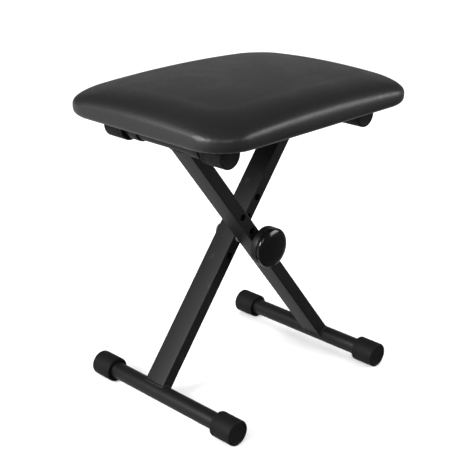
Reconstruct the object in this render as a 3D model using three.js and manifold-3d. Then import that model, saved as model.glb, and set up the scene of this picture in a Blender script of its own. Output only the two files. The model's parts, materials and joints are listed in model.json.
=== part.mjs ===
// Folding keyboard bench: a padded seat on an X frame of two crossed legs, with a clamp knob at the pivot.
// Millimetres. +X runs along the seat, +Y to the rear, +Z up. The origin is on the floor below the pivot.
import * as THREE from 'three';
import { mergeVertices } from 'three/addons/utils/BufferGeometryUtils.js';
import Module from 'manifold-3d';

const wasm = await Module();
wasm.setup();

// Clearances
const gap = 0.3; // between pieces that touch
const boreClearance = 0.3; // round a bolt or a bar in its hole
const hingeClearance = 0.4; // round the bar that turns in the straps
const barClearance = 0.8; // from the top caps to the underside of the seat
const overlap = 0.3; // between solids that are joined into one piece
const past = 1; // how far a cutting tool runs past what it cuts

// Seat
const seatOverhang = 62.5; // each end of the seat beyond the axis of its top bar
const seatDepth = 324;
const seatThickness = 50;
const seatCornerRadius = 52;
const cornerTaper = 0.2; // how fast the corner radius shrinks with the inset
const rimInset = 9; // how far the lower edge curls in
const rimHeight = 9; // height of that curl
const shoulderReach = 90; // plan width of the crowned shoulder
const shoulderStart = 17; // height at which the shoulder begins
const coverThickness = 1.5;
const coverTurnUnder = 18; // cover turned under the board
const boardThickness = 12;
const dustCoverThickness = 1.5;

// X frame
const upperArm = 231; // pivot axis to top bar axis
const lowerArm = 260; // pivot axis to foot bar axis
const legLean = THREE.MathUtils.degToRad(37.6); // each leg from the vertical
const legWidth = 20;
const legDepth = 38;
const legWall = 1.5;
const legCornerRadius = 3;
const legGap = 7.5; // between the two legs at the pivot
const holePitch = 32.5; // height-setting holes along each leg
const holeSteps = [-1, 0, 1, 2]; // hole places in pitches above the pivot

// Foot bars, top bars and their end caps
const barRadius = 12.7;
const barWall = 1.5;
const footBarLength = 296; // over the caps
const topBarLength = 232; // over the caps
const capRadius = 19;
const capLength = 38;
const capEndWall = 3.5;
const capEndRadius = 6;
const capFaceInset = 0.8;
const capFaceMargin = 1; // from the rounded end to the inset face
const capMouthChamfer = 1.6;

// Pivot bolt, washers and sleeves
const boltRadius = 5;
const boltHeadRadius = 10.5;
const boltHeadHeight = 5.5;
const boltNeckLength = 6;
const boltTipSpare = 2; // bolt beyond the knob's insert
const frictionWasherRadius = 8.7;
const knobWasherRadius = 13;
const knobWasherThickness = 2;

// Clamp knob
const knobRadius = 30;
const knobBossRadius = 12;
const knobBossHeight = 2.5;
const knobSkirtHeight = 11.5;
const knobGroove = 1.2;
const knobDomeHeight = 12.2;
const knobDomeRim = 3.4; // straight rim of the dome
const knobCapWall = 2.4;
const knobHubRadius = 13;
const knobEdge = 1.8; // chamfer on the skirt
const insertRadius = 8;
const insertLength = 19;

// Hinge straps on the left top bar, and their screws
const strapThickness = 2;
const strapWidth = 18;
const strapFlange = 15;
const strapScrewRadius = 3;
const strapScrewHeadRadius = 5.6;
const strapScrewHeadHeight = 3.4;
const strapScrewShort = 1; // tip of the screw below the top of the board
const teeNutWall = 1.2;
const teeNutFlangeRadius = 8.5;
const teeNutFlangeThickness = 1.2;
const teeNutShort = 3; // barrel of the nut above the bottom of the board

// Glide pads for the right top bar, and their screws
const padLength = 84;
const padWidth = 22;
const padOutset = 12; // pad centre inboard of the bar
const padChamfer = 2;
const padScrewRadius = 1.9;
const padScrewHeadRadius = 4;
const padScrewShort = 6; // tip of the screw below the top of the board
const padScrewInset = 12; // screw from the end of the pad
const padScrewSink = 0.6; // head below the sliding face

// Facets
const roundSegments = 24;
const knobSegments = 32;
const smallSegments = 12;
const cornerSegments = 4;

// Places that follow from the sizes
const footBarX = lowerArm * Math.sin(legLean);
const topBarX = upperArm * Math.sin(legLean);
const pivotZ = capRadius + lowerArm * Math.cos(legLean);
const topBarZ = pivotZ + upperArm * Math.cos(legLean);
const seatLength = 2 * (topBarX + seatOverhang);
const seatBottomZ = topBarZ + capRadius + barClearance;
const boardBottomZ = seatBottomZ + coverThickness + gap;
const boardTopZ = boardBottomZ + boardThickness;
const dustBottomZ = boardBottomZ - gap - dustCoverThickness;
const bracketTopZ = dustBottomZ - gap; // top of what is screwed to the seat
const legCentreY = (legGap + legDepth) / 2;
const legFaceY = legGap / 2 + legDepth;
const bracketY = (legFaceY + topBarLength / 2 - capLength) / 2; // midway between a leg and a top cap
const knobWasherY = legFaceY + gap;
const knobBackY = knobWasherY + knobWasherThickness + gap;
const strapScrewOffset = barRadius + hingeClearance + strapThickness + strapFlange / 2;
const padCentreX = topBarX - padOutset;
const padScrewOffset = padLength / 2 - padScrewInset;
const sides = [['front', -1], ['rear', 1]];

// Finishes
const finish = (color, roughness, metalness) =>
  new THREE.MeshStandardMaterial({ color, roughness, metalness });
const powderCoat = () => finish(0x1c1c1e, 0.45, 0.2);
const blackVinyl = () => finish(0x2a2a2c, 0.55, 0);
const blackRubber = () => finish(0x161616, 0.8, 0);
const glossPlastic = () => finish(0x101012, 0.25, 0);
const nylon = () => finish(0x202022, 0.6, 0);
const zincSteel = () => finish(0xb4b6b8, 0.35, 0.9);
const brass = () => finish(0xb08d4a, 0.35, 0.9);
const plywood = () => finish(0xc49a66, 0.8, 0);
const foam = () => finish(0xd9d3b4, 0.95, 0);
const dustCloth = () => finish(0x141414, 0.95, 0);

// Booleans on closed meshes
function toSolid(geometry) {
  const bare = geometry.clone();
  bare.deleteAttribute('normal');
  bare.deleteAttribute('uv');
  const merged = mergeVertices(bare, 1e-4);
  return new wasm.Manifold(new wasm.Mesh({
    numProp: 3,
    vertProperties: new Float32Array(merged.attributes.position.array),
    triVerts: new Uint32Array(merged.index.array),
  }));
}

function toGeometry(solid) {
  const mesh = solid.getMesh();
  const geometry = new THREE.BufferGeometry();
  geometry.setAttribute('position', new THREE.BufferAttribute(mesh.vertProperties, 3));
  geometry.setIndex(new THREE.BufferAttribute(mesh.triVerts, 1));
  geometry.computeVertexNormals();
  return geometry;
}

function cut(geometry, tools) {
  let solid = toSolid(geometry);
  for (const tool of tools) {
    solid = solid.subtract(toSolid(tool));
  }
  return toGeometry(solid);
}

function join(geometries) {
  let solid = toSolid(geometries[0]);
  for (const geometry of geometries.slice(1)) {
    solid = solid.add(toSolid(geometry));
  }
  return toGeometry(solid);
}

// Plain shapes
const at = (geometry, x, y, z) => geometry.translate(x, y, z);
const upright = (geometry) => geometry.rotateX(Math.PI / 2); // a shape made along Y now stands along Z

function revolve(profile, segments) {
  const points = profile.map(([radius, height]) => new THREE.Vector2(radius, height));
  return new THREE.LatheGeometry(points, segments);
}

function ring(innerRadius, outerRadius, length, segments) {
  const half = length / 2;
  const inner = [innerRadius, -half];
  return revolve([inner, [outerRadius, -half], [outerRadius, half], [innerRadius, half], inner], segments);
}

const rod = (radius, length, segments) => new THREE.CylinderGeometry(radius, radius, length, segments);
const box = (x, y, z) => new THREE.BoxGeometry(x, y, z);

function roundedRectangle(halfX, halfY, radius) {
  const outline = new THREE.Shape();
  outline.absarc(halfX - radius, halfY - radius, radius, 0, Math.PI / 2);
  outline.absarc(radius - halfX, halfY - radius, radius, Math.PI / 2, Math.PI);
  outline.absarc(radius - halfX, radius - halfY, radius, Math.PI, 1.5 * Math.PI);
  outline.absarc(halfX - radius, radius - halfY, radius, 1.5 * Math.PI, 2 * Math.PI);
  outline.closePath();
  return outline;
}

function slab(outline, lowZ, highZ) {
  const settings = { depth: highZ - lowZ, bevelEnabled: false, curveSegments: cornerSegments };
  return at(new THREE.ExtrudeGeometry(outline, settings), 0, 0, lowZ);
}

// Upright hole from lowZ to highZ
const drill = (x, y, radius, lowZ, highZ) =>
  at(upright(rod(radius, highZ - lowZ, smallSegments)), x, y, (lowZ + highZ) / 2);

// Quarter of an ellipse from the angle start, anticlockwise, or clockwise where turn is -1
function quarterArc(centreX, centreY, radiusX, radiusY, start, steps, turn = 1) {
  const points = [];
  for (let step = 0; step <= steps; step++) {
    const angle = start + turn * (step / steps) * (Math.PI / 2);
    points.push([centreX + radiusX * Math.cos(angle), centreY + radiusY * Math.sin(angle)]);
  }
  return points;
}

// Seat: rounded rectangles stacked up its side, each at its own inset from the widest outline
function seatOutline(inset) {
  const radius = seatCornerRadius - inset * cornerTaper;
  return roundedRectangle(seatLength / 2 - inset, seatDepth / 2 - inset, radius);
}

// Inset and height of each ring of the surface that lies depth below the outside
function seatRings(depth) {
  const curlRadii = [rimInset - depth, rimHeight - depth];
  const shoulderRadii = [shoulderReach - depth, seatThickness - shoulderStart - depth];
  return [
    ...quarterArc(rimInset, rimHeight, ...curlRadii, -Math.PI / 2, 3, -1),
    ...quarterArc(shoulderReach, shoulderStart, ...shoulderRadii, Math.PI, 6, -1),
  ];
}

function seatSolid(depth) {
  return loft(seatRings(depth).map(([inset, height]) => {
    const corners = seatOutline(inset).extractPoints(cornerSegments).shape.slice(0, -1);
    return corners.map((point) => new THREE.Vector3(point.x, point.y, seatBottomZ + height));
  }));
}

// Closed skin through outlines of equal point counts, lowest first, with flat ends
function loft(outlines) {
  const count = outlines[0].length;
  const triangles = [];
  for (let level = 0; level < outlines.length - 1; level++) {
    const low = level * count;
    const high = low + count;
    for (let index = 0; index < count; index++) {
      const next = (index + 1) % count;
      triangles.push(low + index, low + next, high + next);
      triangles.push(low + index, high + next, high + index);
    }
  }
  const last = (outlines.length - 1) * count;
  for (let index = 1; index < count - 1; index++) {
    triangles.push(0, index + 1, index);
    triangles.push(last, last + index, last + index + 1);
  }
  const geometry = new THREE.BufferGeometry().setFromPoints(outlines.flat());
  geometry.setIndex(triangles);
  geometry.computeVertexNormals();
  return geometry;
}

// Screw places under the seat
const strapScrews = sides.flatMap(([name, side]) => [
  { name: `${name}_outer`, x: -topBarX - strapScrewOffset, y: side * bracketY },
  { name: `${name}_inner`, x: -topBarX + strapScrewOffset, y: side * bracketY },
]);
const padScrews = sides.flatMap(([name, side]) => [
  { name: `${name}_inner`, x: padCentreX - padScrewOffset, y: side * bracketY },
  { name: `${name}_outer`, x: padCentreX + padScrewOffset, y: side * bracketY },
]);
const padBottomZ = topBarZ + barRadius + gap;
const strapScrewHeadTopZ = bracketTopZ - strapThickness - gap;
const strapScrewTipZ = boardTopZ - strapScrewShort;
const padScrewFaceZ = padBottomZ + padScrewSink;
const padScrewTipZ = boardTopZ - padScrewShort;
const teeNutBore = strapScrewRadius + boreClearance;
const teeNutRadius = teeNutBore + teeNutWall;

function seatCover() {
  const opening = slab(seatOutline(rimInset + coverTurnUnder), seatBottomZ - past, boardBottomZ);
  return cut(seatSolid(0), [seatSolid(coverThickness), opening]);
}

function seatFoam() {
  const boardRoom = slab(seatOutline(rimInset), seatBottomZ - past, boardTopZ + gap);
  const pocketTopZ = boardTopZ + 2 * gap + teeNutFlangeThickness;
  const pockets = strapScrews.map(({ x, y }) =>
    drill(x, y, teeNutFlangeRadius + gap, boardTopZ, pocketTopZ));
  return cut(seatSolid(coverThickness + gap), [boardRoom, ...pockets]);
}

function seatBoard() {
  const nutHoles = strapScrews.map(({ x, y }) =>
    drill(x, y, teeNutRadius + gap, boardBottomZ - past, boardTopZ + past));
  const pilotHoles = padScrews.map(({ x, y }) =>
    drill(x, y, padScrewRadius + gap, boardBottomZ - past, padScrewTipZ + gap));
  return cut(slab(seatOutline(rimInset + gap), boardBottomZ, boardTopZ), [...nutHoles, ...pilotHoles]);
}

function dustCover() {
  const topZ = dustBottomZ + dustCoverThickness;
  const screwHoles = strapScrews.map(({ x, y }) =>
    drill(x, y, strapScrewRadius + gap, dustBottomZ - past, topZ + past));
  const pilotHoles = padScrews.map(({ x, y }) =>
    drill(x, y, padScrewRadius + gap, dustBottomZ - past, topZ + past));
  const sheet = slab(seatOutline(rimInset + coverTurnUnder + gap), dustBottomZ, topZ);
  return cut(sheet, [...screwHoles, ...pilotHoles]);
}

// Tee nut in the board, flange on top, one for each strap screw
function teeNut() {
  const flangeZ = boardTopZ + gap;
  const barrelZ = boardBottomZ + teeNutShort;
  return upright(revolve([
    [teeNutBore, barrelZ],
    [teeNutRadius, barrelZ],
    [teeNutRadius, flangeZ],
    [teeNutFlangeRadius, flangeZ],
    [teeNutFlangeRadius, flangeZ + teeNutFlangeThickness],
    [teeNutBore, flangeZ + teeNutFlangeThickness],
    [teeNutBore, barrelZ],
  ], smallSegments));
}

// Pan-head screw, head down
function strapScrew() {
  const headLowZ = strapScrewHeadTopZ - strapScrewHeadHeight;
  const dome = quarterArc(0, strapScrewHeadTopZ, strapScrewHeadRadius, strapScrewHeadHeight, -Math.PI / 2, 4);
  return upright(revolve([
    [0, headLowZ],
    ...dome.slice(1),
    [strapScrewRadius, strapScrewHeadTopZ],
    [strapScrewRadius, strapScrewTipZ - strapScrewRadius / 2],
    [strapScrewRadius / 2, strapScrewTipZ],
    [0, strapScrewTipZ],
  ], smallSegments));
}

// Countersunk screw, head down, below the sliding face of its pad
function padScrew() {
  const neckZ = padScrewFaceZ + padScrewHeadRadius - padScrewRadius;
  return upright(revolve([
    [0, padScrewFaceZ],
    [padScrewHeadRadius, padScrewFaceZ],
    [padScrewRadius, neckZ],
    [padScrewRadius, padScrewTipZ - padScrewRadius],
    [0, padScrewTipZ],
  ], smallSegments));
}

// Omega strap under the bar, drawn across the bar and drawn out along it
function hingeStrap(side) {
  const inner = barRadius + hingeClearance;
  const outer = inner + strapThickness;
  const topZ = bracketTopZ - topBarZ;
  const outline = new THREE.Shape();
  outline.moveTo(-outer - strapFlange, topZ);
  outline.lineTo(-outer - strapFlange, topZ - strapThickness);
  outline.lineTo(-outer, topZ - strapThickness);
  outline.absarc(0, 0, outer, Math.PI, 2 * Math.PI);
  outline.lineTo(outer, topZ - strapThickness);
  outline.lineTo(outer + strapFlange, topZ - strapThickness);
  outline.lineTo(outer + strapFlange, topZ);
  outline.lineTo(inner, topZ);
  outline.absarc(0, 0, inner, 2 * Math.PI, Math.PI, true);
  outline.lineTo(-inner, topZ);
  outline.closePath();
  const settings = { depth: strapWidth, bevelEnabled: false, curveSegments: smallSegments };
  const strap = new THREE.ExtrudeGeometry(outline, settings).rotateX(Math.PI / 2);
  at(strap, -topBarX, side * bracketY + strapWidth / 2, topBarZ);
  const holes = strapScrews.map(({ x, y }) =>
    drill(x, y, strapScrewRadius + boreClearance, bracketTopZ - strapThickness - past, bracketTopZ + past));
  return cut(strap, holes);
}

// Block between the seat and the bar that turns in the strap
function hingeSaddle(side) {
  const width = 2 * (barRadius + hingeClearance - gap);
  const lowZ = topBarZ + barRadius / 4;
  const block = box(width, strapWidth, bracketTopZ - lowZ);
  at(block, -topBarX, side * bracketY, (bracketTopZ + lowZ) / 2);
  const bar = rod(barRadius + hingeClearance, strapWidth + 2 * past, roundSegments);
  return cut(block, [at(bar, -topBarX, side * bracketY, topBarZ)]);
}

// Pad that the right top bar rests on and slides along
function glidePad(side) {
  const outline = new THREE.Shape();
  const half = padLength / 2;
  outline.moveTo(-half + padChamfer, padBottomZ);
  outline.lineTo(half - padChamfer, padBottomZ);
  outline.lineTo(half, padBottomZ + padChamfer);
  outline.lineTo(half, bracketTopZ);
  outline.lineTo(-half, bracketTopZ);
  outline.lineTo(-half, padBottomZ + padChamfer);
  outline.closePath();
  const pad = new THREE.ExtrudeGeometry(outline, { depth: padWidth, bevelEnabled: false });
  pad.rotateX(Math.PI / 2);
  at(pad, padCentreX, side * bracketY + padWidth / 2, 0);
  const sinks = padScrews.map(({ x, y }) => {
    const headRadius = padScrewHeadRadius + gap;
    const neckZ = padScrewFaceZ + padScrewHeadRadius - padScrewRadius;
    const sink = upright(revolve([
      [0, padBottomZ - past],
      [headRadius, padBottomZ - past],
      [headRadius, padScrewFaceZ],
      [padScrewRadius + gap, neckZ],
      [padScrewRadius + gap, bracketTopZ + past],
      [0, bracketTopZ + past],
    ], smallSegments));
    return at(sink, x, y, 0);
  });
  return cut(pad, sinks);
}

// Round bars and caps lie along Y
const barTube = (length) =>
  ring(barRadius - barWall, barRadius, length - 2 * (capEndWall + gap), roundSegments);

// End cap with its mouth at 0 and its closed end towards +Y
function endCap() {
  const bore = barRadius + gap;
  const endCentreY = capLength - capEndRadius;
  const endArc = quarterArc(capRadius - capEndRadius, endCentreY, capEndRadius, capEndRadius, 0, 3);
  const faceRadius = capRadius - capEndRadius - capFaceMargin;
  return revolve([
    [0, capLength - capEndWall],
    [bore, capLength - capEndWall],
    [bore, capMouthChamfer],
    [bore + capMouthChamfer, 0],
    [capRadius - capMouthChamfer, 0],
    [capRadius, capMouthChamfer],
    ...endArc,
    [faceRadius, capLength],
    [faceRadius - capFaceInset, capLength - capFaceInset],
    [0, capLength - capFaceInset],
  ], roundSegments);
}

// Leg in its own frame: pivot at the origin, +Z up the leg to the top bar
function legTube(centreY, squareHoleY) {
  const outline = roundedRectangle(legWidth / 2, legDepth / 2, legCornerRadius);
  const innerRadius = legCornerRadius - legWall;
  outline.holes.push(roundedRectangle(legWidth / 2 - legWall, legDepth / 2 - legWall, innerRadius));
  const tube = at(slab(outline, -lowerArm, upperArm), 0, centreY, 0);
  const tools = [upperArm, -lowerArm].map((height) =>
    at(rod(barRadius + gap, legDepth + 2 * past, roundSegments), 0, centreY, height));
  for (const step of holeSteps) {
    const drillBit = rod(boltRadius + boreClearance, legDepth + 2 * past, smallSegments);
    tools.push(at(drillBit, 0, centreY, step * holePitch));
  }
  if (squareHoleY !== null) {
    const side = 2 * (boltRadius + gap);
    tools.push(at(box(side, 2 * legWall, side), 0, squareHoleY, 0));
  }
  return cut(tube, tools);
}

// Sleeve that keeps the bolt from crushing the leg, shorter where the bolt's square neck comes in
function crushSleeve(centreY, neckRoom) {
  const bore = boltRadius + boreClearance;
  const length = legDepth - 2 * (legWall + gap) - neckRoom;
  const cornerRoom = (legCornerRadius - legWall) / 2;
  const sleeve = ring(bore, legWidth / 2 - legWall - cornerRoom - gap, length, smallSegments);
  return at(sleeve, 0, centreY - neckRoom / 2, 0);
}

const frictionWasherThickness = (legGap - 3 * gap) / 2;
const frictionWasher = (side) =>
  at(ring(boltRadius + boreClearance, frictionWasherRadius, frictionWasherThickness, roundSegments),
    0, side * (frictionWasherThickness + gap) / 2, 0);

// Carriage bolt: domed head at the rear, square neck in the rear leg, tip inside the knob
function pivotBolt() {
  const headY = legFaceY + gap;
  const tipY = -(knobBackY + insertLength + gap + boltTipSpare);
  const head = revolve([
    [0, headY],
    ...quarterArc(0, headY, boltHeadRadius, boltHeadHeight, 0, 5),
  ], roundSegments);
  const neckY = headY + overlap - boltNeckLength / 2;
  const neck = at(box(2 * boltRadius, boltNeckLength, 2 * boltRadius), 0, neckY, 0);
  const shankLength = headY + overlap - tipY;
  const shank = at(rod(boltRadius, shankLength, smallSegments), 0, tipY + shankLength / 2, 0);
  return join([head, neck, shank]);
}

// Knob parts: back at 0, front towards +Y
const domeBaseY = knobBossHeight + knobSkirtHeight + knobGroove;

function knobBody() {
  const bore = insertRadius + gap;
  const skirtEnd = knobBossHeight + knobSkirtHeight;
  const hubEnd = insertLength + 2 * gap;
  return revolve([
    [bore, 0],
    [knobBossRadius, 0],
    [knobBossRadius, knobBossHeight],
    [knobRadius - knobEdge, knobBossHeight],
    [knobRadius, knobBossHeight + knobEdge],
    [knobRadius, skirtEnd],
    [knobRadius - knobGroove, skirtEnd],
    [knobRadius - knobGroove, domeBaseY - gap],
    [knobHubRadius, domeBaseY - gap],
    [knobHubRadius, hubEnd],
    [bore, hubEnd],
    [bore, 0],
  ], knobSegments);
}

function knobCap() {
  const shoulderY = domeBaseY + knobDomeRim;
  const rise = knobDomeHeight - knobDomeRim;
  const outer = quarterArc(0, shoulderY, knobRadius, rise, 0, 8);
  const inner = quarterArc(0, shoulderY, knobRadius - knobCapWall, rise - knobCapWall, 0, 6).reverse();
  return revolve([
    ...inner.map(([radius, height]) => [Math.max(radius, 0), height]),
    [knobRadius - knobCapWall, domeBaseY],
    [knobRadius, domeBaseY],
    ...outer,
  ], knobSegments);
}

// Assembly
const bench = new THREE.Group();

function place(parent, name, geometry, material, x = 0, y = 0, z = 0) {
  const mesh = new THREE.Mesh(geometry, material);
  mesh.name = name;
  mesh.position.set(x, y, z);
  parent.add(mesh);
  return mesh;
}

function addSeat() {
  place(bench, 'seat_cover', seatCover(), blackVinyl());
  place(bench, 'seat_foam', seatFoam(), foam());
  place(bench, 'seat_board', seatBoard(), plywood());
  place(bench, 'dust_cover', dustCover(), dustCloth());
  for (const [name, side] of sides) {
    place(bench, `hinge_saddle_${name}`, hingeSaddle(side), nylon());
    place(bench, `hinge_strap_${name}`, hingeStrap(side), powderCoat());
    place(bench, `glide_pad_${name}`, glidePad(side), nylon());
  }
  for (const { name, x, y } of strapScrews) {
    place(bench, `strap_screw_${name}`, strapScrew(), zincSteel(), x, y);
    place(bench, `tee_nut_${name}`, teeNut(), zincSteel(), x, y);
  }
  for (const { name, x, y } of padScrews) {
    place(bench, `pad_screw_${name}`, padScrew(), zincSteel(), x, y);
  }
}

function addBar(name, length, x, z) {
  place(bench, `${name}_bar`, barTube(length), powderCoat(), x, 0, z);
  for (const [end, side] of sides) {
    const mouth = length / 2 - capLength;
    const cap = place(bench, `${name}_cap_${end}`, endCap(), blackRubber(), x, side * mouth, z);
    cap.rotation.z = side > 0 ? 0 : Math.PI;
  }
}

function legGroup(lean) {
  const group = new THREE.Group();
  group.position.set(0, 0, pivotZ);
  group.rotation.y = lean;
  bench.add(group);
  return group;
}

function addLegs() {
  const front = legGroup(-legLean);
  place(front, 'front_leg', legTube(-legCentreY, null), powderCoat());
  place(front, 'front_crush_sleeve', crushSleeve(-legCentreY, 0), zincSteel());
  place(front, 'front_friction_washer', frictionWasher(-1), zincSteel());
  addBar('right_foot', footBarLength, footBarX, capRadius);
  addBar('left_top', topBarLength, -topBarX, topBarZ);

  const rear = legGroup(legLean);
  place(rear, 'rear_leg', legTube(legCentreY, legFaceY), powderCoat());
  place(rear, 'rear_crush_sleeve', crushSleeve(legCentreY, boltNeckLength - legWall), zincSteel());
  place(rear, 'rear_friction_washer', frictionWasher(1), zincSteel());
  place(rear, 'pivot_bolt', pivotBolt(), zincSteel());
  addBar('left_foot', footBarLength, -footBarX, capRadius);
  addBar('right_top', topBarLength, topBarX, topBarZ);
}

function addKnob() {
  const washer = ring(boltRadius + boreClearance, knobWasherRadius, knobWasherThickness, roundSegments);
  place(bench, 'knob_washer', washer, zincSteel(), 0, -knobWasherY - knobWasherThickness / 2, pivotZ);
  const knob = new THREE.Group();
  knob.position.set(0, -knobBackY, pivotZ);
  knob.rotation.z = Math.PI;
  bench.add(knob);
  place(knob, 'knob_body', knobBody(), glossPlastic());
  place(knob, 'knob_cap', knobCap(), glossPlastic());
  const insert = ring(boltRadius + boreClearance, insertRadius, insertLength, smallSegments);
  place(knob, 'knob_insert', insert, brass(), 0, gap + insertLength / 2, 0);
}

addSeat();
addLegs();
addKnob();

export default bench;
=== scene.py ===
import json
from math import atan2, cos, hypot, pi, radians, sin, sqrt

import bmesh
import bpy
import numpy as np
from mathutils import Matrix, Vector


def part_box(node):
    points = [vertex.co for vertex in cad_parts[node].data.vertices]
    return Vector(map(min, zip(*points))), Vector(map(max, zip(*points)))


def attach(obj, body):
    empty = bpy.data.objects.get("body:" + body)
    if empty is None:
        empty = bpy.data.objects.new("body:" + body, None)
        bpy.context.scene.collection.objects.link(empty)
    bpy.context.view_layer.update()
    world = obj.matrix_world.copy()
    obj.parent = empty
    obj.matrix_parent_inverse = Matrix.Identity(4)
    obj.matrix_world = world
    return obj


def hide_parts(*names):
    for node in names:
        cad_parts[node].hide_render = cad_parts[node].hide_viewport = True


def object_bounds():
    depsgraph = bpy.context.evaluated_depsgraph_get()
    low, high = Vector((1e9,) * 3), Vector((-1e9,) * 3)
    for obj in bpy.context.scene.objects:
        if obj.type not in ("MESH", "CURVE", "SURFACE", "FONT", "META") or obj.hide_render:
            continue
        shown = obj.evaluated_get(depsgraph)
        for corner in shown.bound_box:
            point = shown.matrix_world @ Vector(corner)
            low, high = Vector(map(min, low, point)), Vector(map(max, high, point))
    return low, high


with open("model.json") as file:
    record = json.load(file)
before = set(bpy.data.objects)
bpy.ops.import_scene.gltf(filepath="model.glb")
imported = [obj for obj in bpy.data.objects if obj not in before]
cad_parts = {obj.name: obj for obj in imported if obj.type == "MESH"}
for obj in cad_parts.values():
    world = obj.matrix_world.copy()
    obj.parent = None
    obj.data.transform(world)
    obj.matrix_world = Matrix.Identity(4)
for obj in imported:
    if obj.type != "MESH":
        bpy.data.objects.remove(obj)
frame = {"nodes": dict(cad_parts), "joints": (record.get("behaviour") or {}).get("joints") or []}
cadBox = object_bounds()
scene = bpy.context.scene
joints = {joint["name"]: joint for joint in frame["joints"]}
pivot = Vector(joints["scissor_pivot"]["pos_m"])
print("frame loaded")


def letGo():
    if bpy.context.mode != "OBJECT":
        bpy.ops.object.mode_set(mode="OBJECT")
    bpy.ops.object.select_all(action="DESELECT")


def holdOnly(piece):
    letGo()
    piece.select_set(True)
    bpy.context.view_layer.objects.active = piece


def settle(piece, name):
    # its place goes into its mesh
    holdOnly(piece)
    bpy.ops.object.transform_apply(location=True, rotation=True, scale=True)
    piece.name = name
    piece.data.name = name
    return piece


def editParts(piece, kind, test):
    # edit mode, with only the vertices, edges or faces that pass the test selected
    holdOnly(piece)
    bpy.ops.object.mode_set(mode="EDIT")
    bpy.ops.mesh.select_mode(type=kind)
    bpy.ops.mesh.select_all(action="DESELECT")
    shape = bmesh.from_edit_mesh(piece.data)
    parts = {"VERT": shape.verts, "EDGE": shape.edges, "FACE": shape.faces}[kind]
    for part in parts:
        if test(part):
            part.select_set(True)
    shape.select_flush_mode()
    bmesh.update_edit_mesh(piece.data)


def finishWith(piece, kind, **settings):
    holdOnly(piece)
    modifier = piece.modifiers.new(kind.title(), kind)
    for setting, value in settings.items():
        setattr(modifier, setting, value)
    bpy.ops.object.modifier_apply(modifier=modifier.name)


def carve(piece, *tools):
    for tool in tools:
        finishWith(piece, "BOOLEAN", operation="DIFFERENCE", object=tool, solver="EXACT")
        bpy.data.objects.remove(tool)


def smoothBelow(piece, degrees):
    holdOnly(piece)
    bpy.ops.object.shade_smooth_by_angle(angle=radians(degrees))


def addBlock(name, low, high):
    letGo()
    middle = (Vector(low) + Vector(high)) / 2
    bpy.ops.mesh.primitive_cube_add(size=1, location=middle, scale=Vector(high) - Vector(low))
    return settle(bpy.context.object, name)


def eased(corners, steps=4):
    # (radius, height, ease) corners of an outline, each rounded off over its ease
    points = []
    for index, (radius, height, ease) in enumerate(corners):
        corner = Vector((radius, height))
        if ease == 0:
            points.append((radius, height))
            continue
        start = corner + (Vector(corners[index - 1][:2]) - corner).normalized() * ease
        end = corner + (Vector(corners[index + 1][:2]) - corner).normalized() * ease
        for step in range(steps + 1):
            share = step / steps
            point = start * (1 - share) ** 2 + corner * 2 * share * (1 - share) + end * share ** 2
            points.append((point.x, point.y))
    return points


def addTurned(name, outline, base, aim, sides=96):
    # a circle drawn up ring by ring along the outline, stood on base and pointed along aim
    pole = 1e-6
    letGo()
    radius, height = max(outline[0][0], pole), outline[0][1]
    bpy.ops.mesh.primitive_circle_add(vertices=sides, radius=radius, location=(0, 0, height))
    piece = settle(bpy.context.object, name)
    editParts(piece, "VERT", lambda vertex: True)
    for nextRadius, nextHeight in outline[1:]:
        nextRadius = max(nextRadius, pole)
        rise = (0, 0, nextHeight - height)
        bpy.ops.mesh.extrude_region_move(TRANSFORM_OT_translate={"value": rise})
        growth = nextRadius / radius
        bpy.ops.transform.resize(value=(growth, growth, 1), center_override=(0, 0, nextHeight))
        radius, height = nextRadius, nextHeight
    bpy.ops.mesh.select_all(action="SELECT")
    bpy.ops.mesh.remove_doubles(threshold=4e-6)
    bpy.ops.mesh.normals_make_consistent(inside=False)
    letGo()
    piece.rotation_mode = "QUATERNION"
    piece.rotation_quaternion = Vector((0, 0, 1)).rotation_difference(Vector(aim))
    piece.location = base
    return settle(piece, name)


def twinOf(piece, name, move=(0, 0, 0), turn=(0, 0, 0)):
    # a copy with its own mesh, turned about the origin and then moved
    twin = piece.copy()
    twin.data = piece.data.copy()
    scene.collection.objects.link(twin)
    twin.rotation_mode = "XYZ"
    twin.rotation_euler = turn
    twin.location = move
    return settle(twin, name)


def joinInto(piece, *others):
    holdOnly(piece)
    for other in others:
        other.select_set(True)
    bpy.ops.object.join()
    return piece


def dress(piece, body, slot, finish, *nodes):
    piece.data.materials.clear()
    piece.data.materials.append(finish)
    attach(piece, body)
    if nodes:
        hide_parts(*nodes)


def middleOf(node):
    low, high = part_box(node)
    return (low + high) / 2


def plug(tree, socket, value):
    if isinstance(value, Wire):
        tree.links.new(value.socket, socket)
    else:
        socket.default_value = value


class Wire:
    # a number in a material that takes part in sums
    def __init__(self, tree, socket):
        self.tree = tree
        self.socket = socket

    def work(self, operation, *values):
        node = self.tree.nodes.new("ShaderNodeMath")
        node.operation = operation
        for socket, value in zip(node.inputs, values):
            plug(self.tree, socket, value)
        return Wire(self.tree, node.outputs[0])

    def __add__(self, other):
        return self.work("ADD", self, other)

    def __sub__(self, other):
        return self.work("SUBTRACT", self, other)

    def __mul__(self, other):
        return self.work("MULTIPLY", self, other)

    def __rsub__(self, other):
        return self.work("SUBTRACT", other, self)

    __radd__ = __add__
    __rmul__ = __mul__

    def between(self, low, high):
        # 0 up to low, 1 from high on
        node = self.tree.nodes.new("ShaderNodeMapRange")
        node.interpolation_type = "SMOOTHSTEP"
        plug(self.tree, node.inputs["Value"], self)
        plug(self.tree, node.inputs["From Min"], low)
        plug(self.tree, node.inputs["From Max"], high)
        return Wire(self.tree, node.outputs["Result"])


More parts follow.
